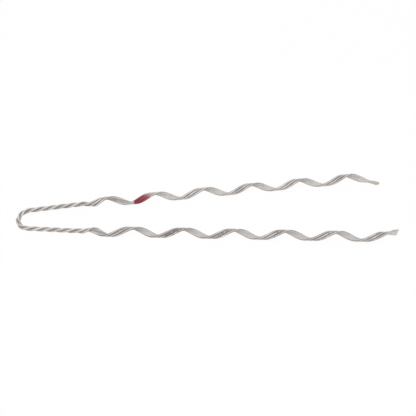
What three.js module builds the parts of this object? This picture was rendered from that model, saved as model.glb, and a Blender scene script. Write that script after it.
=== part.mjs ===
// Preformed dead end grip for a small overhead conductor, in millimetres, +Z up.
// Three hard drawn wires lie side by side from one leg, round the eye, into the other leg.
// In the legs they form an open left hand helix that is wrapped on by hand, lined with bonded grit.
// Round the eye they close up into a short left hand strand.
// The grip lies flat as it would on a bench: eye towards -X, legs towards +X.

import * as THREE from "three";

// Wires
const WIRE_COUNT = 3;
const WIRE_DIAMETER = 2.3;
const WIRE_CLEARANCE = 0.15; // between neighbouring wires
const WIRE_SIDES = 8;
const STATIONS_PER_TURN = 12;
const FLARE_STATIONS = 6;
const LEAST_FACET = 1; // along the middle line
const HEADING_STEP = 0.01;

// Legs
const LEG_OUTSIDE_DIAMETER = 11.3;
const LEG_PITCH = 54.2;
const MARKED_LEG_REACH = 398.5; // from the nose of the eye to the leg's end, along the grip
const PLAIN_LEG_REACH = 406.5;
const LEG_SPLAY = THREE.MathUtils.degToRad(4); // of each leg from the grip's middle line

// Free ends, which spring outwards and straighten
const FLARE_LENGTH = 16;
const FLARE_RISE = 4.6;
const CUT_STAGGER = 0.7; // each wire is cut this much longer than the one before

// Eye
const BIGHT_RADIUS = 11.9; // of the strand's middle
const EYE_SPLAY = THREE.MathUtils.degToRad(6);
const EYE_STRAIGHT = 42; // of each side of the eye, from the bight to the knee
const KNEE_LENGTH = 24; // where the eye's splay eases to the legs'
const STRAND_PITCH = 34.2;
const NOSE_TURN = THREE.MathUtils.degToRad(188); // of the strand about its middle, at the nose
const OPENING_START = 82; // along the middle line, from the nose to where the strand opens
const OPENING_LENGTH = 22;

// Bonded grit lining inside each leg
const GRIT_THICKNESS = 0.35;
const GRIT_CLEARANCE = 0.2;
const GRIT_FILL = 0.45; // how far it rises into the grooves, past the wires' inmost line
const GRIT_END_MARGIN = 2; // bare wire between the lining and the flare

// Colour mark, a film of paint over the outside of one leg
const MARK_START = 132;
const MARK_LENGTH = 16;
const MARK_THICKNESS = 0.3;
const MARK_STATIONS = 12;
const MARK_CLEARANCE = 0.1;
const MARK_FILL = 0.5; // how far it sinks into the grooves, from the wires' outmost line

// Skins over the wires
const SKIN_POINTS_PER_WIRE = 3;
const GRIT_FACE_POINTS = 4;

// Finishes
const WIRE_COLOUR = 0xbdbab6;
const GRIT_COLOUR = 0xb9b8b5;
const MARK_COLOUR = 0x8b3640;

const WIRE_RADIUS = WIRE_DIAMETER / 2;
const WIRE_SPACING = WIRE_DIAMETER + WIRE_CLEARANCE;
const LEG_RADIUS = LEG_OUTSIDE_DIAMETER / 2 - WIRE_RADIUS;
const STRAND_TURN_RATE = (2 * Math.PI) / STRAND_PITCH;
const LEG_TURN_RATE = (2 * Math.PI) / LEG_PITCH;
const STRAND_RADIUS = closedStrandRadius();
const MARKED_LEG_END = lengthToReach(MARKED_LEG_REACH);
const PLAIN_LEG_END = lengthToReach(PLAIN_LEG_REACH);
const EYE_END = OPENING_START + OPENING_LENGTH; // along the middle line, where the legs begin
const STATION_GRID = stationGrid();

// Radius at which all the wires touch round the middle, for the slant that the strand's pitch gives them.
function closedStrandRadius() {
  const upright = WIRE_SPACING / (2 * Math.sin(Math.PI / WIRE_COUNT));
  return upright / Math.sqrt(1 - (upright * STRAND_TURN_RATE) ** 2);
}

// Middle line of half the grip in plan: lengths with the angle that each one turns through.
function halfPlan() {
  const bightTurn = Math.PI / 2 - EYE_SPLAY;
  return [
    { length: BIGHT_RADIUS * bightTurn, turn: bightTurn },
    { length: EYE_STRAIGHT, turn: 0 },
    { length: KNEE_LENGTH, turn: EYE_SPLAY - LEG_SPLAY },
    { length: Infinity, turn: 0 },
  ];
}

// Place and heading on the half with negative Y, at a length along it from the nose.
function halfPlanAt(length) {
  const place = new THREE.Vector2(0, 0);
  let heading = -Math.PI / 2;
  let left = length;
  for (const stretch of halfPlan()) {
    const run = Math.min(left, stretch.length);
    const turn = stretch.turn * (stretch.length === Infinity ? 0 : run / stretch.length);
    const chord = turn === 0 ? run : (run * Math.sin(turn / 2)) / (turn / 2);
    place.x += chord * Math.cos(heading + turn / 2);
    place.y += chord * Math.sin(heading + turn / 2);
    heading += turn;
    left -= run;
    if (left <= 0) {
      break;
    }
  }
  return { place, heading };
}

// Length along the middle line that reaches as far as this from the nose.
function lengthToReach(reach) {
  const knee = halfPlan().reduce((sum, part) => (part.length === Infinity ? sum : sum + part.length), 0);
  return knee + (reach - halfPlanAt(knee).place.x) / Math.cos(LEG_SPLAY);
}

// Frame of the middle line: negative lengths run along the marked leg, positive ones along the plain leg.
function middleLine(s) {
  const { place, heading } = halfPlanAt(Math.abs(s));
  const side = s < 0 ? -1 : 1;
  const along = new THREE.Vector3(side * Math.cos(heading), Math.sin(heading), 0);
  return {
    place: new THREE.Vector3(place.x, side * place.y, 0),
    along,
    across: new THREE.Vector3(-along.y, along.x, 0),
  };
}

// Share of the opening from closed strand to open leg, and what that share adds up to along it.
function opening(s) {
  const past = (Math.abs(s) - OPENING_START) / OPENING_LENGTH;
  const share = THREE.MathUtils.clamp(past, 0, 1);
  return {
    share: share * share * (3 - 2 * share),
    sum: OPENING_LENGTH * (share ** 3 - share ** 4 / 2 + Math.max(0, past - 1)),
  };
}

// Share of the flare at a free end.
function flare(s) {
  const end = s < 0 ? MARKED_LEG_END : PLAIN_LEG_END;
  return THREE.MathUtils.clamp((Math.abs(s) - end + FLARE_LENGTH) / FLARE_LENGTH, 0, 2);
}

// Turns about the middle line per millimetre, in radians, which fade out along the flare.
function turnRate(s) {
  const rate = STRAND_TURN_RATE + (LEG_TURN_RATE - STRAND_TURN_RATE) * opening(s).share;
  return rate * Math.max(0, 1 - flare(s) ** 3);
}

// Angle of the middle wire about the middle line: a left hand lay turns back as the length grows.
function wireAngle(s) {
  const open = opening(s);
  const faded = flare(s) < 1 ? flare(s) ** 4 / 4 : flare(s) - 3 / 4;
  const lost = LEG_TURN_RATE * FLARE_LENGTH * faded;
  const turned = STRAND_TURN_RATE * Math.abs(s) + (LEG_TURN_RATE - STRAND_TURN_RATE) * open.sum - lost;
  return NOSE_TURN - Math.sign(s) * turned;
}

// Distance of the wires' centres from the middle line.
function wireCircle(s) {
  const plain = STRAND_RADIUS + (LEG_RADIUS - STRAND_RADIUS) * opening(s).share;
  return plain + FLARE_RISE * flare(s) ** 2;
}

// Angle between neighbouring wires that lie side by side on that circle.
function wireStep(s) {
  const radius = wireCircle(s);
  const slant = Math.atan(radius * turnRate(s));
  const half = WIRE_SPACING / (2 * radius * Math.cos(slant));
  return 2 * Math.asin(Math.min(half, Math.sin(Math.PI / WIRE_COUNT)));
}

// Unit vector out from the middle line at an angle about it.
function outward(frame, angle) {
  return frame.across.clone().multiplyScalar(Math.cos(angle)).setZ(Math.sin(angle));
}

// Lengths at which the facets of all the pieces meet, as many to a turn in the strand as in the legs.
function stationGrid() {
  const grid = [];
  let s = -MARKED_LEG_END;
  while (s < PLAIN_LEG_END) {
    grid.push(s);
    s += flare(s) > 0 ? FLARE_LENGTH / FLARE_STATIONS : (2 * Math.PI) / STATIONS_PER_TURN / turnRate(s);
  }
  return grid;
}

// The grid's lengths between two ends, with the ends themselves.
function stations(from, to) {
  const between = STATION_GRID.filter((s) => s > from + LEAST_FACET && s < to - LEAST_FACET);
  return [from, ...between, to];
}

// A path through stations that fall at equal steps of the curve's parameter, with a frame at each.
class StationCurve extends THREE.Curve {
  constructor(list) {
    super();
    this.list = list;
  }

  getPoint(t, target = new THREE.Vector3()) {
    const at = t * (this.list.length - 1);
    const first = Math.min(Math.floor(at), this.list.length - 2);
    const s = THREE.MathUtils.lerp(this.list[first], this.list[first + 1], at - first);
    return target.copy(this.placeAt(s));
  }

  getUtoTmapping(u) {
    return u;
  }

  computeFrenetFrames() {
    const frames = { tangents: [], normals: [], binormals: [] };
    for (const s of this.list) {
      const tangent = this.headingAt(s);
      const normal = outward(middleLine(s), wireAngle(s)).projectOnPlane(tangent).normalize();
      frames.tangents.push(tangent);
      frames.normals.push(normal);
      frames.binormals.push(new THREE.Vector3().crossVectors(tangent, normal));
    }
    return frames;
  }
}

// Centreline of one wire, by its place in the row across the ribbon.
class WireCurve extends StationCurve {
  constructor(list, offset) {
    super(list);
    this.offset = offset;
  }

  placeAt(s) {
    const frame = middleLine(s);
    const angle = wireAngle(s) + this.offset * wireStep(s);
    return frame.place.addScaledVector(outward(frame, angle), wireCircle(s));
  }

  headingAt(s) {
    return this.placeAt(s + HEADING_STEP).sub(this.placeAt(s - HEADING_STEP)).normalize();
  }
}

// Middle line of a leg, for skins inside and outside the ribbon.
class RibbonCurve extends StationCurve {
  placeAt(s) {
    return middleLine(s).place;
  }

  headingAt(s) {
    return middleLine(s).along;
  }
}

// Distance of a skin's back from the wires' circle, at an angle across the ribbon: it sinks in the grooves.
function skinBack(angle, clearance, limit) {
  const slant = Math.atan(LEG_RADIUS * LEG_TURN_RATE);
  const step = wireStep(EYE_END);
  const last = (WIRE_COUNT - 1) / 2;
  const nearest = THREE.MathUtils.clamp(Math.round(angle / step + last) - last, -last, last);
  const aside = LEG_RADIUS * (angle - nearest * step) * Math.cos(slant);
  const reach = WIRE_RADIUS + clearance;
  return Math.max(Math.sqrt(Math.max(reach ** 2 - aside ** 2, 0)), limit);
}

// Section of a skin in polar form: its back follows the wires, its face is a plain arc.
function skinSection(side, clearance, fill, thickness, facePoints) {
  const step = wireStep(EYE_END);
  const half = (WIRE_COUNT * step) / 2 - step / 8;
  const backs = WIRE_COUNT * SKIN_POINTS_PER_WIRE;
  const points = [];
  const add = (radius, angle) => {
    points.push(new THREE.Vector2(radius * Math.cos(angle), radius * Math.sin(angle)));
  };
  for (let i = 0; i <= backs; i += 1) {
    const angle = -half + (2 * half * i) / backs;
    add(LEG_RADIUS + side * skinBack(angle, clearance, WIRE_RADIUS - fill), angle);
  }
  const face = LEG_RADIUS + side * (WIRE_RADIUS + clearance + thickness);
  for (let i = facePoints; i >= 0; i -= 1) {
    add(face, -half + (2 * half * i) / facePoints);
  }
  return new THREE.Shape(points);
}

// A section swept along a path through all its stations, with flat ends.
function sweep(name, section, path, colour, roughness, metalness) {
  const geometry = new THREE.ExtrudeGeometry(section, {
    steps: path.list.length - 1,
    extrudePath: path,
    curveSegments: 1,
  });
  const finish = new THREE.MeshStandardMaterial({ color: colour, roughness, metalness });
  const mesh = new THREE.Mesh(geometry, finish);
  mesh.name = name;
  return mesh;
}

function wireSection() {
  const corners = [];
  for (let i = 0; i < WIRE_SIDES; i += 1) {
    const angle = (2 * Math.PI * i) / WIRE_SIDES;
    corners.push(new THREE.Vector2(WIRE_RADIUS * Math.cos(angle), WIRE_RADIUS * Math.sin(angle)));
  }
  return new THREE.Shape(corners);
}

// A wire is drawn in stretches that meet face to face: the eye, and the near and far half of each leg.
function wireStretches(index) {
  const stagger = index * CUT_STAGGER;
  const markedMiddle = -(EYE_END + MARKED_LEG_END) / 2;
  const plainMiddle = (EYE_END + PLAIN_LEG_END) / 2;
  return [
    { name: "marked_leg_far", from: -MARKED_LEG_END - stagger, to: markedMiddle },
    { name: "marked_leg_near", from: markedMiddle, to: -EYE_END },
    { name: "eye", from: -EYE_END, to: EYE_END },
    { name: "plain_leg_near", from: EYE_END, to: plainMiddle },
    { name: "plain_leg_far", from: plainMiddle, to: PLAIN_LEG_END + stagger },
  ];
}

function wire(index) {
  const offset = index - (WIRE_COUNT - 1) / 2;
  return wireStretches(index).map(({ name, from, to }) => {
    const path = new WireCurve(stations(from, to), offset);
    return sweep(`wire_${index + 1}_${name}`, wireSection(), path, WIRE_COLOUR, 0.45, 0.6);
  });
}

function gritLining(name, side, end) {
  const section = skinSection(-1, GRIT_CLEARANCE, GRIT_FILL, GRIT_THICKNESS, GRIT_FACE_POINTS);
  const near = EYE_END;
  const far = end - FLARE_LENGTH - GRIT_END_MARGIN;
  const run = side < 0 ? stations(-far, -near) : stations(near, far);
  return sweep(name, section, new RibbonCurve(run), GRIT_COLOUR, 0.9, 0);
}

function colourMark() {
  const facePoints = WIRE_COUNT * SKIN_POINTS_PER_WIRE;
  const section = skinSection(1, MARK_CLEARANCE, MARK_FILL, MARK_THICKNESS, facePoints);
  const run = [];
  for (let i = 0; i <= MARK_STATIONS; i += 1) {
    run.push(-MARK_START - MARK_LENGTH * (1 - i / MARK_STATIONS));
  }
  return sweep("colour_mark", section, new RibbonCurve(run), MARK_COLOUR, 0.5, 0);
}

const grip = new THREE.Group();
for (let index = 0; index < WIRE_COUNT; index += 1) {
  grip.add(...wire(index));
}
grip.add(gritLining("grit_lining_marked_leg", -1, MARKED_LEG_END));
grip.add(gritLining("grit_lining_plain_leg", 1, PLAIN_LEG_END));
grip.add(colourMark());

// The origin is the middle of the grip's footprint, on the bench that it lies on.
const extent = new THREE.Box3().setFromObject(grip, true);
const middle = extent.getCenter(new THREE.Vector3());
grip.position.set(-middle.x, -middle.y, -extent.min.z);

export default grip;
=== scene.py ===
# Looks of a preformed dead end grip: wires, grit lining, colour mark and the stage that it is shown on.

import math

import bmesh
import bpy
from bpy.props import (
    FloatProperty,
    FloatVectorProperty,
    IntProperty,
    PointerProperty,
)
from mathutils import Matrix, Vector


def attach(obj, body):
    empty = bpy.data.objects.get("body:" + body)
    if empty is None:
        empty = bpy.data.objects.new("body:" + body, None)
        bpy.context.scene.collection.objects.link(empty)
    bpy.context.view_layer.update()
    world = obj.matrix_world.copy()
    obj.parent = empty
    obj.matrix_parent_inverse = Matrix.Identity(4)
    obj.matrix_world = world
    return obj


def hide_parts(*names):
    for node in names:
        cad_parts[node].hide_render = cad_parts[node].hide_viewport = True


bl_info = {
    "name": "Preformed dead end grip",
    "version": (1, 0, 0),
    "blender": (4, 5, 0),
    "location": "View3D > Sidebar > Grip",
    "description": "Makes the wires, the grit lining, the colour mark and the stage of a dead end grip",
    "category": "Add Mesh",
}

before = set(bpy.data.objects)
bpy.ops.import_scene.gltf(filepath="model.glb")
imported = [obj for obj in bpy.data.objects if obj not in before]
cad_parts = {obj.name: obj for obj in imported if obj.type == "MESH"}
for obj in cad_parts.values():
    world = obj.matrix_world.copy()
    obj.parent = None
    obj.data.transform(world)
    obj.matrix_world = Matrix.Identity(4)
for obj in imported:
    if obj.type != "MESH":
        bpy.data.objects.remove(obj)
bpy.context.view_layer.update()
WIRES = ("wire_1", "wire_2", "wire_3")
STRETCHES = ("marked_leg_far", "marked_leg_near", "eye", "plain_leg_near", "plain_leg_far")
LINING_NODES = ("grit_lining_marked_leg", "grit_lining_plain_leg")
MARK_NODE = "colour_mark"
WHITE = (1.0, 1.0, 1.0, 1.0)

# Distance from a wire's cut end, and the share of its radius there: the cut has a worn edge.
CUT_EDGE = ((0.0, 0.88), (0.00008, 0.96), (0.00022, 1.0))

# Rows of ink dots on the plain leg: start and end along it, and the share of the dots that printed.
INK_ROWS = (
    (0.166, 0.194, 0.75),
    (0.222, 0.248, 0.50),
    (0.279, 0.302, 0.34),
    (0.338, 0.353, 0.38),
)
INK_DOTS_PER_METRE = 1150.0
INK_STRENGTH = 0.95

# The lining starts after this share of the opening, and runs to its full width over the taper. Its first
# stretch, in the darker colour by the eye, also lies over the gaps where the wires part, as painted
# shade.
LINING_STARTS_AT = 0.28
LINING_TAPER = 0.010
LINING_TIP = 0.04
LINING_STATION_GAP = 0.0009
LINING_COLUMNS = 30

# Half of the lining's width, in steps from wire to wire: the outer wires' far sides stay bare.
LINING_HALF_WIDTH = 1.36

# Where a seam between two wires lies, from the lining's middle, as a share of its width.
SEAM_ASIDE = 0.184

# The lining's back stands this far off the wires, and goes into the grooves to a share of their radius.
LINING_OFF_WIRE = 0.00002
LINING_IN_GROOVE = 0.62
LINING_EDGE_HEIGHT = 0.72

# How far round a wire the paint goes to each side, how it is divided, and how deep its root lies.
PAINT_REACH = math.radians(84)
PAINT_ROWS = 48
PAINT_COLUMNS = 28
PAINT_ROOT = 0.00006

# How far along each wire the paint reaches, as a share of the mark's length.
PAINT_CROWNS = (1.16, 1.02, 0.80)

FLOOR_HALF = 1.6
FLOOR_COLOUR = (0.86, 0.86, 0.86, 1.0)
LAMP_WIDTH = 0.55
LAMP_PLACE = (-0.20, -0.10, 0.95)
SENSOR_WIDTH = 36

# Share of the floor that is plain white where it shows as background. The rest takes the shadow.
FLOOR_WHITE = 0.965


def length_setting(label, about, default):
    return FloatProperty(name=label, description=about, default=default, unit="LENGTH")


def angle_setting(label, about, degrees):
    return FloatProperty(name=label, description=about, default=math.radians(degrees), subtype="ANGLE")


def place_setting(label, about, default):
    return FloatVectorProperty(
        name=label, description=about, default=default, subtype="XYZ", unit="LENGTH"
    )


def colour_setting(label, about, default):
    return FloatVectorProperty(
        name=label, description=about, default=default, subtype="COLOR", min=0, max=1
    )


class GripLaySettings(bpy.types.PropertyGroup):
    """Sizes of the wires and of the path that they are laid along."""

    origin: place_setting(
        "Nose of the eye",
        "Place of the strand's middle at the nose of the eye",
        (-0.20333756, 0.00009213, 0.00661145),
    )
    wire_diameter: length_setting("Wire diameter", "Diameter of each drawn wire", 0.0023)
    wire_clearance: length_setting("Wire clearance", "Gap between neighbouring wires", 0.00015)
    leg_outside: length_setting("Leg diameter", "Outside diameter of the helical legs", 0.0113)
    leg_pitch: length_setting("Leg pitch", "Length of one turn of a leg", 0.0542)
    marked_reach: length_setting(
        "Marked leg's reach", "From the nose of the eye to the marked leg's end, along the grip", 0.3985
    )
    plain_reach: length_setting(
        "Plain leg's reach", "From the nose of the eye to the plain leg's end, along the grip", 0.4065
    )
    leg_splay: angle_setting("Leg splay", "Angle of each leg from the grip's middle line", 4)
    eye_splay: angle_setting(
        "Eye splay", "Angle of each side of the eye from the grip's middle line", 6
    )
    bight_radius: length_setting(
        "Bight radius", "Radius of the strand's middle round the nose of the eye", 0.0119
    )
    eye_straight: length_setting(
        "Eye's straight side", "Length of each side of the eye, from the bight to the knee", 0.042
    )
    knee_length: length_setting(
        "Knee length", "Length over which the eye's splay eases to the legs'", 0.024
    )
    strand_pitch: length_setting(
        "Strand pitch", "Length of one turn of the closed strand round the eye", 0.0342
    )
    nose_turn: angle_setting(
        "Turn at the nose", "Angle of the strand about its middle at the nose of the eye", 188
    )
    opening_start: length_setting(
        "Opening start", "From the nose to where the strand opens, along the middle line", 0.082
    )
    opening_length: length_setting(
        "Opening length", "Length over which the strand opens into the leg", 0.022
    )
    loosening: length_setting("Loosening", "How far before the opening the wires start to part", 0.009)
    flare_length: length_setting(
        "Flare length", "Length of the free end that springs outwards", 0.016
    )
    flare_rise: length_setting("Flare rise", "How far the free end springs outwards", 0.0046)
    cut_stagger: length_setting(
        "Cut stagger", "How much longer each wire is cut than the one before", 0.0007
    )
    station_gap: length_setting(
        "Station gap", "Distance between the points that the wires are laid through", 0.0008
    )
    wire_sides: IntProperty(
        name="Sides of a wire", description="Facets round each wire", default=18, min=6
    )


class GripGritSettings(bpy.types.PropertyGroup):
    """Sizes of the bonded grit inside the legs."""

    thickness: length_setting(
        "Lining thickness", "Thickness of adhesive and grit over the wires", 0.0003
    )
    end_margin: length_setting(
        "Bare end", "Length of bare wire past the lining at the free ends", 0.0006
    )
    grain_size: length_setting("Grain size", "Mean width of a grain of grit", 0.00034)
    grain_gap: length_setting(
        "Grain gap", "Least distance between the middles of neighbouring grains", 0.00042
    )
    seed: IntProperty(name="Seed", description="Start of the grains' scatter", default=7)


class GripMarkSettings(bpy.types.PropertyGroup):
    """Sizes of the painted colour mark."""

    start: length_setting(
        "Mark start", "From the nose of the eye to the mark's clean edge, along the middle line", 0.132
    )
    length: length_setting("Mark length", "Length of the mark to its longest streak", 0.016)
    thickness: length_setting("Paint thickness", "Thickness of the paint over the wires", 0.00012)


class GripFinishSettings(bpy.types.PropertyGroup):
    """Colours of the finishes."""

    wire_light: colour_setting(
        "Bright wire", "Colour of the drawn cladding where it is clean", (0.640, 0.604, 0.577)
    )
    wire_dull: colour_setting(
        "Dull wire", "Colour of the cladding where it has dulled", (0.452, 0.416, 0.393)
    )
    handled: colour_setting(
        "Handling marks", "Colour of the small marks on the cladding", (0.20, 0.185, 0.17)
    )
    # Painted shade: this dark colour goes on the wires' flanks, where shade falls in the grooves between
    # them.
    groove_shade: colour_setting(
        "Groove",
        "Colour of the film that drawing and handling leave between the wires",
        (0.175, 0.157, 0.143),
    )
    ink: colour_setting("Ink", "Colour of the printed dots", (0.060, 0.052, 0.062))
    core: colour_setting("Wire core", "Colour of the wires' sheared ends", (0.62, 0.60, 0.56))
    grit: colour_setting("Grit", "Colour of the bonded grains", (0.685, 0.664, 0.648))
    adhesive: colour_setting(
        "Adhesive", "Colour of the adhesive between the grains", (0.49, 0.470, 0.452)
    )
    # Partly thin grit and partly painted shade: this dark colour also stands for the shade in the
    # grooves and in the gaps where the wires part.
    thin_grit_and_shade: colour_setting(
        "Scant grit",
        "Colour of the lining by the eye, where the grit is thin over the wires",
        (0.296, 0.264, 0.242),
    )
    aged: colour_setting(
        "Aged adhesive",
        "Colour of the adhesive where it has yellowed, by the marked leg's end",
        (0.58, 0.540, 0.445),
    )
    fresh: colour_setting(
        "Fresh grit",
        "Colour of the grit at the plain leg's end, where it is clean",
        (0.80, 0.785, 0.790),
    )
    mark: colour_setting(
        "Mark paint", "Colour of the mark where the paint is thick", (0.265, 0.024, 0.040)
    )
    mark_thin: colour_setting(
        "Thin mark paint", "Colour of the mark where the paint runs out", (0.42, 0.13, 0.15)
    )


class GripStageSettings(bpy.types.PropertyGroup):
    """Camera, floor and light."""

    aim: place_setting(
        "Aim", "Point on the bench that the camera looks at", (0.00281, 0.00995, 0.00096)
    )
    distance: length_setting(
        "Camera distance", "From the camera to the point that it looks at", 0.7202
    )
    elevation: angle_setting("Camera elevation", "Angle of the camera above the bench", 55)
    azimuth: angle_setting("Camera azimuth", "Angle of the camera round the grip", 2.67)
    picture_width: length_setting(
        "Picture width", "Width that the picture takes in at the point that the camera looks at", 0.4609
    )
    world_light: FloatProperty(
        name="World light",
        description="Strength of the light from all round",
        default=0.80,
        min=0,
    )
    key_light: FloatProperty(
        name="Key light",
        description="Power of the large soft lamp above",
        default=3.0,
        min=0,
        unit="POWER",
    )


def half_plan(lay):
    """Lengths of half the middle line in plan, with the angle that each one turns through."""
    bight_turn = math.pi / 2 - lay.eye_splay
    return (
        (lay.bight_radius * bight_turn, bight_turn),
        (lay.eye_straight, 0.0),
        (lay.knee_length, lay.eye_splay - lay.leg_splay),
        (math.inf, 0.0),
    )


def half_plan_at(lay, length):
    """Place and heading on the plain leg's half at a length from the nose."""
    x = 0.0
    y = 0.0
    heading = -math.pi / 2
    left = length
    for stretch, full_turn in half_plan(lay):
        run = min(left, stretch)
        turn = 0.0 if stretch == math.inf else full_turn * run / stretch
        chord = run if turn == 0 else run * math.sin(turn / 2) / (turn / 2)
        x += chord * math.cos(heading + turn / 2)
        y += chord * math.sin(heading + turn / 2)
        heading += turn
        left -= run
        if left <= 0:
            break
    return x, y, heading


def length_to_reach(lay, reach):
    """Length along the middle line that reaches as far as this from the nose."""
    knee = sum(stretch for stretch, _ in half_plan(lay) if stretch != math.inf)
    return knee + (reach - half_plan_at(lay, knee)[0]) / math.cos(lay.leg_splay)


def clamp(value, low, high):
    return max(low, min(high, value))


class Lay:
    """The rule that the wires follow: lengths below zero run along the marked leg."""

    def __init__(self, lay):
        self.lay = lay
        self.spacing = lay.wire_diameter + lay.wire_clearance
        self.wire_radius = lay.wire_diameter / 2
        self.strand_rate = 2 * math.pi / lay.strand_pitch
        self.leg_rate = 2 * math.pi / lay.leg_pitch
        upright = self.spacing / (2 * math.sin(math.pi / len(WIRES)))
        self.strand_radius = upright / math.sqrt(1 - (upright * self.strand_rate) ** 2)
        self.leg_radius = lay.leg_outside / 2 - self.wire_radius
        self.marked_end = length_to_reach(lay, lay.marked_reach)
        self.plain_end = length_to_reach(lay, lay.plain_reach)

    def frame(self, s):
        """Place, heading and direction across of the middle line."""
        x, y, heading = half_plan_at(self.lay, abs(s))
        side = -1 if s < 0 else 1
        along = Vector((side * math.cos(heading), math.sin(heading), 0))
        place = Vector((x, side * y, 0)) + Vector(self.lay.origin)
        return place, along, Vector((-along.y, along.x, 0))

    def opening(self, s):
        """Share of the opening, and what that share adds up to along it."""
        past = (abs(s) - self.lay.opening_start) / self.lay.opening_length
        share = clamp(past, 0, 1)
        total = self.lay.opening_length * (share**3 - share**4 / 2 + max(0, past - 1))
        return share * share * (3 - 2 * share), total

    def flare(self, s):
        """Share of the flare at a free end."""
        end = self.marked_end if s < 0 else self.plain_end
        return clamp((abs(s) - end + self.lay.flare_length) / self.lay.flare_length, 0, 2)

    def turn_rate(self, s):
        rate = self.strand_rate + (self.leg_rate - self.strand_rate) * self.opening(s)[0]
        return rate * max(0, 1 - self.flare(s) ** 3)

    def angle(self, s):
        """Angle of the middle wire about the middle line: a left hand lay turns back along it."""
        flare = self.flare(s)
        faded = flare**4 / 4 if flare < 1 else flare - 3 / 4
        lost = self.leg_rate * self.lay.flare_length * faded
        opened = (self.leg_rate - self.strand_rate) * self.opening(s)[1]
        turned = self.strand_rate * abs(s) + opened - lost
        return self.lay.nose_turn - math.copysign(turned, s)

    def circle(self, s):
        """Distance of the wires' centres from the middle line."""
        lay = self.lay
        past = abs(s) - lay.opening_start + lay.loosening
        share = clamp(past / (lay.opening_length + lay.loosening), 0, 1)
        grown = (self.leg_radius - self.strand_radius) * share * share * (3 - 2 * share)
        return self.strand_radius + grown + lay.flare_rise * self.flare(s) ** 2

    def beside(self, s, place):
        """Angle of the wire at a place in the row, where the middle wire's place is 0."""
        return self.angle(s) + place * self.step(s)

    def step(self, s):
        """Angle between neighbouring wires that lie side by side."""
        radius = self.circle(s)
        half = self.spacing / (2 * radius * math.cos(math.atan(radius * self.turn_rate(s))))
        return 2 * math.asin(min(half, math.sin(math.pi / len(WIRES))))

    def point(self, s, angle, radius):
        """Point at an angle and a distance about the middle line."""
        place, _, across = self.frame(s)
        return place + across * (radius * math.cos(angle)) + Vector((0, 0, radius * math.sin(angle)))


def spread(start, end, gap):
    """Even numbers from start to end, about a gap apart."""
    count = max(1, round(abs(end - start) / gap))
    return [start + (end - start) * i / count for i in range(count + 1)]


def new_mesh_object(name, points, edges, faces):
    mesh = bpy.data.meshes.new(name)
    mesh.from_pydata([tuple(p) for p in points], edges, faces)
    mesh.validate()
    made = bpy.data.objects.new(name, mesh)
    bpy.context.scene.collection.objects.link(made)
    return made


def add_values(mesh, name, values):
    """Stores one number for each vertex."""
    layer = mesh.attributes.new(name, "FLOAT", "POINT")
    layer.data.foreach_set("value", values)


def add_vectors(mesh, name, vectors):
    """Stores one vector for each vertex."""
    layer = mesh.attributes.new(name, "FLOAT_VECTOR", "POINT")
    layer.data.foreach_set("vector", [part for vector in vectors for part in vector])


def take_result(made, tree, values):
    """Runs a node tree on an object and keeps the result as its plain mesh."""
    modifier = made.modifiers.new(tree.name, "NODES")
    modifier.node_group = tree
    for socket in tree.interface.items_tree:
        if socket.item_type == "SOCKET" and socket.name in values:
            modifier[socket.identifier] = values[socket.name]
    graph = bpy.context.evaluated_depsgraph_get()
    graph.update()
    result = bpy.data.meshes.new_from_object(made.evaluated_get(graph), depsgraph=graph)
    made.modifiers.remove(modifier)
    start = made.data
    made.data = result
    bpy.data.meshes.remove(start)
    result.name = made.name
    return made


class Tree:
    """Small helper that adds nodes to a node tree and joins them."""

    def __init__(self, tree):
        self.tree = tree

    def join(self, source, socket):
        self.tree.links.new(source, socket)

    def add(self, kind, joins=None, **settings):
        node = self.tree.nodes.new(kind)
        for key, value in settings.items():
            setattr(node, key, value)
        for name, source in (joins or {}).items():
            socket = node.inputs[name]
            if isinstance(source, bpy.types.NodeSocket):
                self.join(source, socket)
            else:
                socket.default_value = source
        return node

    def math(self, operation, first, second=0.0):
        node = self.add("ShaderNodeMath", {0: first, 1: second}, operation=operation)
        return node.outputs[0]

    def plus(self, first, second):
        return self.math("ADD", first, second)

    def minus(self, first, second):
        return self.math("SUBTRACT", first, second)

    def times(self, first, second):
        return self.math("MULTIPLY", first, second)

    def larger(self, first, second):
        return self.math("MAXIMUM", first, second)

    def smaller(self, first, second):
        return self.math("MINIMUM", first, second)

    def size(self, value):
        return self.math("ABSOLUTE", value)

    def vector(self, operation, first, second, output=0):
        node = self.add("ShaderNodeVectorMath", {0: first, 1: second}, operation=operation)
        return node.outputs[output]

    def scale(self, vector, factor):
        node = self.add("ShaderNodeVectorMath", {0: vector, "Scale": factor}, operation="SCALE")
        return node.outputs[0]

    def named(self, name, kind="FLOAT"):
        """What a point carries under a name, in a geometry node tree."""
        node = self.add("GeometryNodeInputNamedAttribute", {"Name": name}, data_type=kind)
        return node.outputs["Attribute"]

    def attribute(self, name, output="Fac"):
        """What a mesh carries under a name, in a material."""
        return self.add("ShaderNodeAttribute", attribute_name=name).outputs[output]

    def place(self):
        return self.add("ShaderNodeTexCoord").outputs["Object"]

    def ramp(self, value, zero_at, one_at, low=0.0, high=1.0):
        """Even between two values, and no more than low or high beyond them."""
        joins = {"Value": value, "From Min": zero_at, "From Max": one_at, "To Min": low, "To Max": high}
        return self.add("ShaderNodeMapRange", joins).outputs["Result"]

    def noise(self, vector, scale, detail, roughness):
        joins = {"Vector": vector, "Scale": scale, "Detail": detail, "Roughness": roughness}
        return self.add("ShaderNodeTexNoise", joins).outputs["Fac"]

    def mix(self, share, first, second):
        """From the first colour to the second: these are the node's sockets 6 and 7, and output 2."""
        node = self.add("ShaderNodeMix", {0: share, 6: first, 7: second}, data_type="RGBA")
        return node.outputs[2]

    def bump(self, shader, height, strength, distance):
        joins = {"Height": height, "Strength": strength, "Distance": distance}
        self.join(self.add("ShaderNodeBump", joins).outputs["Normal"], shader.inputs["Normal"])


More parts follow.
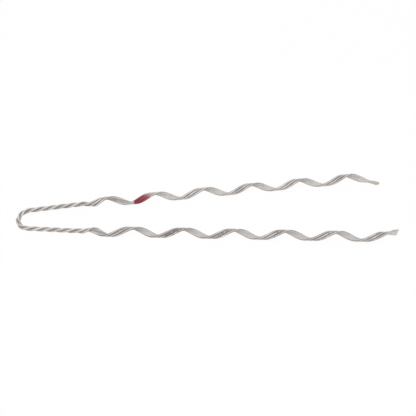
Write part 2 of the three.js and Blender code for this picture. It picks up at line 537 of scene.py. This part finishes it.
def geometry_tree(name, inputs):
    """A geometry node tree with its inputs by name, and its group input and output nodes."""
    tree = bpy.data.node_groups.new(name, "GeometryNodeTree")
    tree.interface.new_socket("Geometry", in_out="INPUT", socket_type="NodeSocketGeometry")
    for label, (kind, default) in inputs.items():
        socket = tree.interface.new_socket(label, in_out="INPUT", socket_type=kind)
        if default is not None:
            socket.default_value = default
    tree.interface.new_socket("Geometry", in_out="OUTPUT", socket_type="NodeSocketGeometry")
    start = tree.nodes.new("NodeGroupInput")
    end = tree.nodes.new("NodeGroupOutput")
    return Tree(tree), start, end


def wire_tree():
    """Lays one round wire beside the middle line, from angles and circles kept on its points."""
    t, start, end = geometry_tree(
        "Lay one wire",
        {
            "Wire diameter": ("NodeSocketFloat", 0.0023),
            "Place in the row": ("NodeSocketFloat", 0.0),
            "Number": ("NodeSocketFloat", 0.0),
            "Sides": ("NodeSocketInt", 18),
            "Material": ("NodeSocketMaterial", None),
        },
    )
    given = start.outputs
    angle = t.plus(t.named("lay_angle"), t.times(given["Place in the row"], t.named("lay_step")))
    across = t.scale(t.named("across", "FLOAT_VECTOR"), t.math("COSINE", angle))
    upward = t.add("ShaderNodeCombineXYZ", {"Z": t.math("SINE", angle)}).outputs[0]
    outward = t.vector("ADD", across, upward)
    faced = keep(t, given["Geometry"], "outward", outward, "FLOAT_VECTOR")
    curve = t.add("GeometryNodeMeshToCurve", {"Mesh": faced})
    joins = {"Geometry": curve.outputs[0], "Offset": t.scale(outward, t.named("lay_circle"))}
    laid = t.add("GeometryNodeSetPosition", joins)
    joins = {"Curve": laid.outputs[0], "Radius": t.named("shrink")}
    shrunk = t.add("GeometryNodeSetCurveRadius", joins)

    radius = t.math("DIVIDE", given["Wire diameter"], 2.0)
    joins = {"Resolution": given["Sides"], "Radius": radius}
    ring = t.add("GeometryNodeCurvePrimitiveCircle", joins)
    place = t.add("GeometryNodeInputPosition").outputs[0]
    unit = t.add("ShaderNodeVectorMath", {0: place}, operation="NORMALIZE").outputs[0]
    profile = keep(t, ring.outputs["Curve"], "round", unit, "FLOAT_VECTOR")

    joins = {"Curve": shrunk.outputs[0], "Profile Curve": profile, "Fill Caps": True}
    tube = t.add("GeometryNodeCurveToMesh", joins)
    if "Scale" in tube.inputs:
        t.join(t.named("shrink"), tube.inputs["Scale"])

    # A wire's side faces have four corners, and its cut ends have one for each side.
    corners = t.add("GeometryNodeInputMeshFaceNeighbors").outputs["Vertex Count"]
    side = t.math("LESS_THAN", corners, 4.5)
    joins = {"Geometry": tube.outputs[0], "Shade Smooth": side}
    smooth = t.add("GeometryNodeSetShadeSmooth", joins).outputs[0]
    cut = keep(t, smooth, "cut", t.math("GREATER_THAN", corners, 4.5), domain="FACE")
    numbered = keep(t, cut, "wire", given["Number"])
    finish_tree(t, numbered, given["Material"], end)
    return t.tree


def grain_tree():
    """Scatters grains of grit over the faces that carry the value 'grit'."""
    t, start, end = geometry_tree(
        "Scatter grit",
        {
            "Grain size": ("NodeSocketFloat", 0.0003),
            "Grain gap": ("NodeSocketFloat", 0.0004),
            "Seed": ("NodeSocketInt", 1),
            "Material": ("NodeSocketMaterial", None),
        },
    )
    given = start.outputs
    joins = {
        "Mesh": given["Geometry"],
        "Selection": t.math("GREATER_THAN", t.named("grit"), 0.5),
        "Distance Min": given["Grain gap"],
        "Density Max": t.math("DIVIDE", 1.0, t.math("POWER", given["Grain gap"], 2.0)),
        "Seed": given["Seed"],
    }
    points = t.add("GeometryNodeDistributePointsOnFaces", joins, distribute_method="POISSON")
    grain = t.add("GeometryNodeMeshIcoSphere", {"Radius": 0.5, "Subdivisions": 1})
    turn = random_vector(t, (0.0, 0.0, 0.0), (6.28, 6.28, 6.28), given["Seed"])
    size = random_vector(t, (0.6, 0.55, 0.5), (1.35, 1.1, 0.95), given["Seed"])
    joins = {
        "Points": points.outputs["Points"],
        "Instance": grain.outputs["Mesh"],
        "Rotation": turn,
        "Scale": t.scale(size, given["Grain size"]),
    }
    placed = t.add("GeometryNodeInstanceOnPoints", joins)
    both = t.add("GeometryNodeJoinGeometry")
    t.join(given["Geometry"], both.inputs[0])
    t.join(placed.outputs[0], both.inputs[0])
    finish_tree(t, both.outputs[0], given["Material"], end)
    return t.tree


def keep(t, geometry, name, value, kind="FLOAT", domain="POINT"):
    """Stores a value on the geometry under a name, for the materials."""
    joins = {"Geometry": geometry, "Name": name, "Value": value}
    node = t.add("GeometryNodeStoreNamedAttribute", joins, data_type=kind, domain=domain)
    return node.outputs[0]


def random_vector(t, least, most, seed):
    joins = {"Min": least, "Max": most, "Seed": seed}
    return t.add("FunctionNodeRandomValue", joins, data_type="FLOAT_VECTOR").outputs[0]


def finish_tree(t, geometry, material, end):
    """Makes the geometry real and gives it its material, which every tree ends with."""
    real = t.add("GeometryNodeRealizeInstances", {"Geometry": geometry})
    joins = {"Geometry": real.outputs[0], "Material": material}
    t.join(t.add("GeometryNodeSetMaterial", joins).outputs[0], end.inputs[0])


def new_material(name):
    """An empty node material, with its helper and its Principled shader."""
    material = bpy.data.materials.new(name)
    material.use_nodes = True
    shader = material.node_tree.nodes["Principled BSDF"]
    return material, Tree(material.node_tree), shader


def colour(values):
    return (values[0], values[1], values[2], 1.0)


def ink_dots(t, along, facing):
    """Plain rows of ink dots on the outside of the plain leg, with no letters or signs."""
    wire = t.attribute("wire")
    dots = t.times(along, INK_DOTS_PER_METRE)
    off_middle = t.size(t.minus(t.math("FRACT", dots), 0.5))
    key = t.add("ShaderNodeCombineXYZ", {"X": t.math("FLOOR", dots), "Y": wire}).outputs[0]
    chance = t.add("ShaderNodeTexWhiteNoise", {"Vector": key}).outputs["Value"]
    rows = 0.0
    for start, end, share in INK_ROWS:
        # The second wire prints its whole share of dots, and the third about a third of it.
        printed = t.times(t.minus(2.6, wire), share / 1.6)
        inside = t.times(t.math("GREATER_THAN", along, start), t.math("LESS_THAN", along, end))
        rows = t.larger(rows, t.times(inside, t.math("LESS_THAN", chance, printed)))
    length = t.ramp(off_middle, zero_at=0.40, one_at=0.32)
    width = t.ramp(facing, zero_at=0.72, one_at=0.84)
    not_first = t.math("GREATER_THAN", wire, 0.5)
    return t.times(t.times(rows, t.times(length, width)), t.times(not_first, INK_STRENGTH))


def dullness(t, along, lines, patches):
    """How dull the cladding is: more on the plain leg, and there most of all by the eye."""
    from_lines = t.times(lines, 0.45)
    from_patches = t.times(patches, 0.75)
    plain_leg = t.ramp(along, zero_at=0.085, one_at=0.105)
    by_the_eye = t.times(t.ramp(along, zero_at=0.30, one_at=0.20), 0.07)
    from_handling = t.times(plain_leg, t.plus(0.05, by_the_eye))
    return t.plus(t.plus(from_lines, from_patches), from_handling)


def painted_flank_shade(t, along, facing, patches, place):
    """Share of painted shade on the wires' flanks, which darkens the grooves between them: none at the
    legs' ends.
    """
    inner_side = t.times(t.ramp(facing, zero_at=0.15, one_at=-0.15), 0.25)
    out_of_shade = t.plus(t.plus(t.size(facing), inner_side), t.times(patches, 0.35))
    out = t.size(along)
    begins = t.ramp(out, zero_at=0.078, one_at=0.086)
    ends = t.ramp(out, zero_at=0.112, one_at=0.102)
    where_wires_part = t.times(t.smaller(begins, ends), 0.16)
    out_of_shade = t.minus(out_of_shade, where_wires_part)
    x = t.add("ShaderNodeSeparateXYZ", {"Vector": place}).outputs["X"]
    before_ends = t.ramp(x, zero_at=0.200, one_at=0.176)
    return t.times(t.ramp(out_of_shade, zero_at=0.80, one_at=0.20), before_ends)


def wire_material(finish):
    """Drawn aluminium cladding: fine lines along the wire, dull patches, small handling marks and
    painted shade in the grooves.
    """
    material, t, shader = new_material("drawn cladding")
    along = t.attribute("along")
    place = t.place()
    normal = t.add("ShaderNodeNewGeometry").outputs["Normal"]
    outward = t.attribute("outward", "Vector")
    facing = t.vector("DOT_PRODUCT", normal, outward, "Value")

    # The drawing lines are noise that is long along the wire and fine round it.
    line = t.add("ShaderNodeCombineXYZ", {"Z": t.times(along, 60.0)}).outputs[0]
    drawn = t.vector("ADD", t.scale(t.attribute("round", "Vector"), 5.0), line)
    lines = t.noise(drawn, scale=2.2, detail=3.0, roughness=0.6)
    patches = t.noise(place, scale=95.0, detail=3.0, roughness=0.55)
    specks = t.noise(place, scale=1500.0, detail=2.0, roughness=0.6)
    dull = dullness(t, along, lines, patches)

    dulled = t.ramp(dull, zero_at=0.50, one_at=0.74)
    tone = t.mix(dulled, colour(finish.wire_light), colour(finish.wire_dull))
    tone = t.mix(t.ramp(specks, zero_at=0.66, one_at=0.78), tone, colour(finish.handled))
    # Painted shade on the wires' flanks, which darkens the grooves between them.
    tone = t.mix(painted_flank_shade(t, along, facing, patches, place), tone, colour(finish.groove_shade))
    yellowed = t.times(t.ramp(along, zero_at=-0.386, one_at=-0.395), 0.50)
    tone = t.mix(yellowed, tone, colour(finish.aged))
    tone = t.mix(ink_dots(t, along, facing), tone, colour(finish.ink))
    tone = t.mix(t.attribute("cut"), tone, colour(finish.core))
    t.join(tone, shader.inputs["Base Color"])

    rough = t.ramp(dull, zero_at=0.35, one_at=0.85, low=0.46, high=0.64)
    t.join(rough, shader.inputs["Roughness"])
    shader.inputs["Metallic"].default_value = 0.45
    t.bump(shader, t.plus(lines, t.times(specks, 0.35)), strength=0.25, distance=0.00005)
    return material


def thin_grit_and_shade_share(t, along, aside, runs):
    """Share of the darker lining by the eye, in runs along the wires and over the seams between them:
    partly thin grit, partly painted shade of the grooves and of the gaps where the wires part.
    """
    from_seam = t.size(t.minus(aside, SEAM_ASIDE))
    seams = t.times(t.ramp(from_seam, zero_at=0.13, one_at=0.02), 0.20)
    bare = t.plus(runs, seams)
    by_the_eye = t.ramp(t.size(along), zero_at=0.148, one_at=0.128)
    inside = t.times(by_the_eye, t.ramp(aside, zero_at=0.47, one_at=0.36))
    return t.times(t.times(inside, t.ramp(bare, zero_at=0.40, one_at=0.60)), 0.85)


def yellowing(t, along, aside):
    """Share of yellowed adhesive: faint along the marked leg, strong on its tail and the edges there."""
    faint = t.times(t.ramp(along, zero_at=-0.24, one_at=-0.38), 0.10)
    tail = t.times(t.ramp(along, zero_at=-0.390, one_at=-0.397), 0.60)
    last_turn = t.ramp(along, zero_at=-0.366, one_at=-0.384)
    edges = t.times(last_turn, t.ramp(aside, zero_at=0.32, one_at=0.46))
    return t.larger(t.plus(faint, tail), t.times(edges, 0.60))


def grit_material(finish):
    """Pale grains in a thin film of adhesive."""
    material, t, shader = new_material("bonded grit")
    place = t.place()
    along = t.attribute("along")
    across = t.attribute("across_row")
    aside = t.size(t.minus(across, 0.5))

    grains = t.add("ShaderNodeTexVoronoi", {"Vector": place, "Scale": 2600.0})
    shade = t.add("ShaderNodeSeparateColor", {"Color": grains.outputs["Color"]}).outputs[0]
    drag = t.add("ShaderNodeCombineXYZ", {"X": across, "Y": t.times(along, 40.0)}).outputs[0]
    runs = t.noise(drag, scale=6.0, detail=4.0, roughness=0.65)
    stains = t.noise(place, scale=140.0, detail=3.0, roughness=0.6)
    flecks = t.noise(place, scale=900.0, detail=2.0, roughness=0.6)
    stained = t.plus(t.times(stains, 0.5), t.times(runs, 0.5))
    stained = t.plus(stained, t.times(flecks, 0.4))
    plain_leg = t.ramp(along, zero_at=0.0, one_at=0.001)
    stained = t.plus(stained, t.times(plain_leg, 0.045))

    tone = t.mix(t.ramp(shade, zero_at=0.0, one_at=0.8), colour(finish.adhesive), colour(finish.grit))
    tone = t.mix(t.ramp(stained, zero_at=0.58, one_at=0.80), tone, colour(finish.adhesive))
    # Darker lining by the eye: partly thin grit, partly painted shade of the grooves and gaps beneath.
    tone = t.mix(thin_grit_and_shade_share(t, along, aside, runs), tone, colour(finish.thin_grit_and_shade))
    clean = t.times(t.ramp(along, zero_at=0.390, one_at=0.399), 0.58)
    tone = t.mix(clean, tone, colour(finish.fresh))
    tone = t.mix(yellowing(t, along, aside), tone, colour(finish.aged))
    t.join(tone, shader.inputs["Base Color"])
    shader.inputs["Roughness"].default_value = 0.7
    t.bump(shader, grains.outputs["Distance"], strength=0.5, distance=0.0001)
    return material


def mark_material(finish):
    """Dull red paint, thin where the streaks run out."""
    material, t, shader = new_material("mark paint")
    blotch = t.noise(t.place(), scale=420.0, detail=4.0, roughness=0.6)
    worn = t.plus(t.attribute("thin"), t.times(t.minus(blotch, 0.5), 0.9))
    thinned = t.ramp(worn, zero_at=0.25, one_at=1.1)
    tone = t.mix(thinned, colour(finish.mark), colour(finish.mark_thin))
    t.join(tone, shader.inputs["Base Color"])
    shader.inputs["Roughness"].default_value = 0.42
    t.bump(shader, blotch, strength=0.3, distance=0.00008)
    return material


class GRIP_OT_wires(bpy.types.Operator):
    """Lay the three wires side by side from one free end, round the eye, to the other"""

    bl_idname = "grip.wires"
    bl_label = "Wires"

    def execute(self, context):
        scene = context.scene
        settings = scene.grip_lay
        lay = Lay(settings)
        tree = wire_tree()
        cladding = wire_material(scene.grip_finish)
        for index, wire in enumerate(WIRES):
            stagger = index * settings.cut_stagger
            start = -lay.marked_end - stagger
            end = lay.plain_end + stagger
            inner = spread(start, end, settings.station_gap)[1:-1]
            first = [start + back for back, _ in CUT_EDGE]
            last = [end - back for back, _ in reversed(CUT_EDGE)]
            run = first + inner + last
            edge = [share for _, share in CUT_EDGE]
            frames = [lay.frame(s) for s in run]
            edges = [(i, i + 1) for i in range(len(run) - 1)]
            made = new_mesh_object(wire + "_drawn", [f[0] for f in frames], edges, [])
            add_vectors(made.data, "across", [f[2] for f in frames])
            add_values(made.data, "lay_angle", [lay.angle(s) for s in run])
            add_values(made.data, "lay_circle", [lay.circle(s) for s in run])
            add_values(made.data, "lay_step", [lay.step(s) for s in run])
            add_values(made.data, "along", run)
            add_values(made.data, "shrink", edge + [1.0] * len(inner) + edge[::-1])
            take_result(
                made,
                tree,
                {
                    "Wire diameter": settings.wire_diameter,
                    "Place in the row": index - (len(WIRES) - 1) / 2,
                    "Number": float(index),
                    "Sides": settings.wire_sides,
                    "Material": cladding,
                },
            )
            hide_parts(*(f"{wire}_{stretch}" for stretch in STRETCHES))
            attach(made, "root")
        return {"FINISHED"}


class GRIP_OT_grit_linings(bpy.types.Operator):
    """Bond the grit inside both legs"""

    bl_idname = "grip.grit_linings"
    bl_label = "Grit linings"

    def execute(self, context):
        scene = context.scene
        lay = Lay(scene.grip_lay)
        grit = scene.grip_grit
        tree = grain_tree()
        finish = grit_material(scene.grip_finish)
        opening = scene.grip_lay
        near = opening.opening_start + opening.opening_length * LINING_STARTS_AT
        for node, side, end in zip(LINING_NODES, (-1, 1), (lay.marked_end, lay.plain_end)):
            run = [side * s for s in spread(near, end - grit.end_margin, LINING_STATION_GAP)]
            made = self.skin(node + "_bonded", lay, grit, run)
            take_result(
                made,
                tree,
                {
                    "Grain size": grit.grain_size,
                    "Grain gap": grit.grain_gap,
                    "Seed": grit.seed + side,
                    "Material": finish,
                },
            )
            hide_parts(node)
            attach(made, "root")
        return {"FINISHED"}

    def skin(self, name, lay, grit, run):
        """A closed skin that lies against the wires and has an even inner face."""
        count = LINING_COLUMNS
        radius = lay.wire_radius
        points = []
        for s in run:
            step = lay.step(s)
            circle = lay.circle(s)
            slant = math.atan(circle * lay.turn_rate(s))
            fade = clamp((abs(s) - abs(run[0])) / LINING_TAPER, LINING_TIP, 1)
            half = step * LINING_HALF_WIDTH * math.sin(fade * math.pi / 2) ** 0.6
            for i in range(count + 1):
                angle = -half + 2 * half * i / count
                nearest = clamp(round(angle / step), -1, 1)
                aside = circle * (angle - nearest * step) * math.cos(slant)
                back = math.sqrt(max(radius**2 - aside**2, 0)) + LINING_OFF_WIRE
                back = max(back, radius * LINING_IN_GROOVE)
                points.append(lay.point(s, lay.angle(s) + angle, circle - back))
            for i in range(count + 1):
                angle = half - 2 * half * i / count
                crown = math.sqrt(max(0.0, 1 - (angle / half) ** 6))
                height = radius * (1 - LINING_EDGE_HEIGHT) + grit.thickness * fade
                face = radius * LINING_EDGE_HEIGHT + height * crown
                points.append(lay.point(s, lay.angle(s) + angle, circle - face))
        ring = 2 * (count + 1)
        made = new_mesh_object(name, points, [], tube_faces(0, ring, len(run)))

        # Grains lie on the inner face only, and not on its outermost columns.
        grained = [0.0] * (count + 3) + [1.0] * (count - 3) + [0.0] * 2
        row = [i / count for i in range(count + 1)]
        add_values(made.data, "grit", grained * len(run))
        add_values(made.data, "across_row", (row + row[::-1]) * len(run))
        add_values(made.data, "along", [s for s in run for _ in range(ring)])
        make_outward(made.data)
        made.data.shade_smooth()
        return made


def tube_faces(first, ring, rings):
    """Faces of a closed tube of rings of points, with a cap on each end."""
    faces = []
    for row in range(rings - 1):
        for i in range(ring):
            a = first + row * ring + i
            b = first + row * ring + (i + 1) % ring
            faces.append((a, b, b + ring, a + ring))
    last = first + (rings - 1) * ring
    faces.append(tuple(reversed(range(first, first + ring))))
    faces.append(tuple(range(last, last + ring)))
    return faces


def make_outward(mesh):
    """Turns a closed mesh's faces so that they point outwards."""
    work = bmesh.new()
    work.from_mesh(mesh)
    bmesh.ops.recalc_face_normals(work, faces=work.faces)
    work.to_mesh(mesh)
    work.free()


class GRIP_OT_colour_mark(bpy.types.Operator):
    """Brush the colour mark over the outside of the marked leg"""

    bl_idname = "grip.colour_mark"
    bl_label = "Colour mark"

    def execute(self, context):
        scene = context.scene
        lay = Lay(scene.grip_lay)
        points = []
        faces = []
        thin = []
        for index in range(len(WIRES)):
            self.coat(lay, scene.grip_mark, index, points, faces, thin)
        made = new_mesh_object("colour_mark_paint", points, [], faces)
        add_values(made.data, "thin", thin)
        make_outward(made.data)
        made.data.shade_smooth()
        made.data.materials.append(mark_material(scene.grip_finish))
        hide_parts(MARK_NODE)
        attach(made, "root")
        return {"FINISHED"}

    def coat(self, lay, mark, index, points, faces, thin):
        """Adds the closed film of paint on the outside of one wire, with a ragged far edge."""
        first = len(points)
        columns = [*range(PAINT_COLUMNS + 1), *range(PAINT_COLUMNS, -1, -1)]
        for row in range(PAINT_ROWS + 1):
            wear = row / PAINT_ROWS
            for place, i in enumerate(columns):
                turn = PAINT_REACH * (2 * i / PAINT_COLUMNS - 1)
                length = mark.length * self.streak(index, turn)
                s = -(mark.start + length * row / PAINT_ROWS)
                coat = mark.thickness * (1 - 0.85 * wear**2) * (1 - (turn / PAINT_REACH) ** 8)
                under = place > PAINT_COLUMNS
                lift = -PAINT_ROOT if under else coat - 0.00002 - 0.00003 * wear**6
                points.append(self.on_wire(lay, s, index, turn, lift))
                thin.append(wear**2 + 0.25 * abs(turn / PAINT_REACH) ** 3)
        faces += tube_faces(first, len(columns), PAINT_ROWS + 1)

    def on_wire(self, lay, s, index, turn, lift):
        """Point on one wire's surface, turned about the wire from its outermost line."""
        place = index - (len(WIRES) - 1) / 2
        middle, before, after = (
            lay.point(at, lay.beside(at, place), lay.circle(at))
            for at in (s, s - 0.0002, s + 0.0002)
        )
        outward = lay.point(s, lay.beside(s, place), lay.circle(s) + 0.001) - middle
        aside = (after - before).cross(outward).normalized()
        outward = aside.cross(after - before).normalized()
        radius = lay.wire_radius + lift
        return middle + (outward * math.cos(turn) + aside * math.sin(turn)) * radius

    def streak(self, index, turn):
        """Share of the mark's length that the paint reaches on a wire at an angle about it."""
        crown = PAINT_CROWNS[index] + 0.10 * math.cos(2 * turn)
        return crown + 0.08 * math.sin(5 * turn + 2 * index) + 0.05 * math.sin(13 * turn + index)


def background_rays(t):
    """One for rays that show the background: the camera's, and those that gloss and glass send on."""
    path = t.add("ShaderNodeLightPath")
    sent_on = t.larger(path.outputs["Is Glossy Ray"], path.outputs["Is Transmission Ray"])
    return t.larger(path.outputs["Is Camera Ray"], sent_on)


class GRIP_OT_stage(bpy.types.Operator):
    """Set up the floor, the light and the camera"""

    bl_idname = "grip.stage"
    bl_label = "Stage"

    def execute(self, context):
        stage = context.scene.grip_stage
        self.floor()
        self.world(context.scene, stage)
        self.lamp(stage)
        self.camera(context.scene, stage)
        context.scene.view_settings.view_transform = "Standard"
        return {"FINISHED"}

    def floor(self):
        half = FLOOR_HALF
        corners = [(-half, -half, 0), (half, -half, 0), (half, half, 0), (-half, half, 0)]
        made = new_mesh_object("floor", corners, [], [(0, 1, 2, 3)])
        material, t, shader = new_material("pale floor")
        shader.inputs["Base Color"].default_value = FLOOR_COLOUR
        shader.inputs["Roughness"].default_value = 0.9
        white = t.add("ShaderNodeEmission", {"Color": WHITE, "Strength": 1.0})
        share = t.times(background_rays(t), FLOOR_WHITE)
        blend = t.add("ShaderNodeMixShader", {0: share, 1: shader.outputs[0], 2: white.outputs[0]})
        t.join(blend.outputs[0], t.tree.nodes["Material Output"].inputs["Surface"])
        made.data.materials.append(material)

    def world(self, scene, stage):
        world = bpy.data.worlds.new("studio")
        scene.world = world
        world.use_nodes = True
        t = Tree(world.node_tree)
        strength = t.ramp(background_rays(t), zero_at=0.0, one_at=1.0, low=stage.world_light)
        sky = world.node_tree.nodes["Background"]
        sky.inputs["Color"].default_value = WHITE
        t.join(strength, sky.inputs["Strength"])

    def lamp(self, stage):
        light = bpy.data.lights.new("key", "AREA")
        light.shape = "DISK"
        light.size = LAMP_WIDTH
        light.energy = stage.key_light
        made = bpy.data.objects.new("key", light)
        made.location = LAMP_PLACE
        made.rotation_euler = (-made.location).to_track_quat("-Z", "Y").to_euler()
        bpy.context.scene.collection.objects.link(made)

    def camera(self, scene, stage):
        level = stage.distance * math.cos(stage.elevation)
        across = -level * math.sin(stage.azimuth)
        back = -level * math.cos(stage.azimuth)
        away = Vector((across, back, stage.distance * math.sin(stage.elevation)))
        data = bpy.data.cameras.new("camera")
        data.sensor_width = SENSOR_WIDTH
        data.lens = SENSOR_WIDTH * stage.distance / stage.picture_width
        made = bpy.data.objects.new("camera", data)
        made.location = Vector(stage.aim) + away
        made.rotation_euler = (-away).to_track_quat("-Z", "Y").to_euler()
        scene.collection.objects.link(made)
        scene.camera = made


class GRIP_PT_panel(bpy.types.Panel):
    """Lists the pieces of the grip"""

    bl_idname = "GRIP_PT_panel"
    bl_label = "Dead end grip"
    bl_space_type = "VIEW_3D"
    bl_region_type = "UI"
    bl_category = "Grip"

    def draw(self, context):
        for operator in OPERATORS:
            self.layout.operator(operator.bl_idname)


OPERATORS = (GRIP_OT_stage, GRIP_OT_wires, GRIP_OT_grit_linings, GRIP_OT_colour_mark)
SETTINGS = {
    "grip_lay": GripLaySettings,
    "grip_grit": GripGritSettings,
    "grip_mark": GripMarkSettings,
    "grip_finish": GripFinishSettings,
    "grip_stage": GripStageSettings,
}


def register():
    for kind in (*SETTINGS.values(), *OPERATORS, GRIP_PT_panel):
        bpy.utils.register_class(kind)
    for name, kind in SETTINGS.items():
        setattr(bpy.types.Scene, name, PointerProperty(type=kind))


def unregister():
    for name in SETTINGS:
        delattr(bpy.types.Scene, name)
    for kind in (GRIP_PT_panel, *reversed(OPERATORS), *reversed(SETTINGS.values())):
        bpy.utils.unregister_class(kind)


def main():
    register()
    bpy.ops.grip.stage()
    bpy.ops.grip.wires()
    bpy.ops.grip.grit_linings()
    bpy.ops.grip.colour_mark()


if __name__ == "__main__":
    main()
